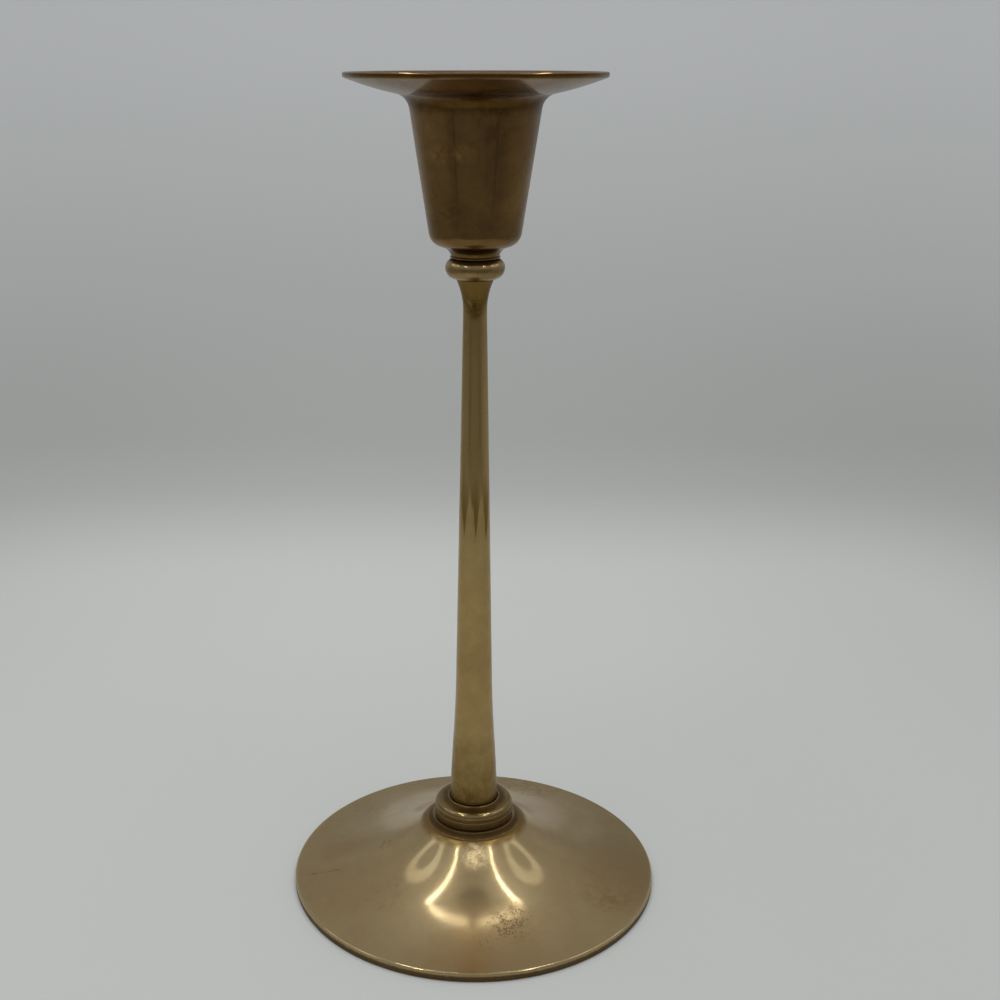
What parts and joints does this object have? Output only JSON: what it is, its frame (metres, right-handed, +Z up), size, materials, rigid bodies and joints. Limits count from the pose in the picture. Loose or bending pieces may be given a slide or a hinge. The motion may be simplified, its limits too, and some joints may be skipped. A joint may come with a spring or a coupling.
{
  "type": "candlestick",
  "caption": "Turned brass candlestick: flared cup with a wide drip rim on a slender tapering stem, beaded collar and broad dished foot.",
  "frame": {"origin": "middle of the foot, in the plane it rests on", "axes": "+Z up along the axis that every piece is turned about; the piece has no front"},
  "size_m": [0.12, 0.12, 0.2592],
  "materials": {
    "foot_brass": "satin golden bronze, lightly tarnished",
    "collar_brass": "satin, dark tarnish in the grooves",
    "stem_brass": "polished, yellow, with fine streaks along its length",
    "knop_brass": "satin, dark tarnish at the joints",
    "cup_brass": "satin brown bronze with patches of tarnish",
    "fastener_brass": "dull machined brass"
  },
  "bodies": {
    "root": {"foot": "foot_brass", "foot_collar": "collar_brass", "stem": "stem_brass", "neck_knop": "knop_brass", "cup": "cup_brass", "cup_stud": "fastener_brass", "foot_washer": "fastener_brass", "foot_nut": "fastener_brass"}
  },
  "joints": []
}
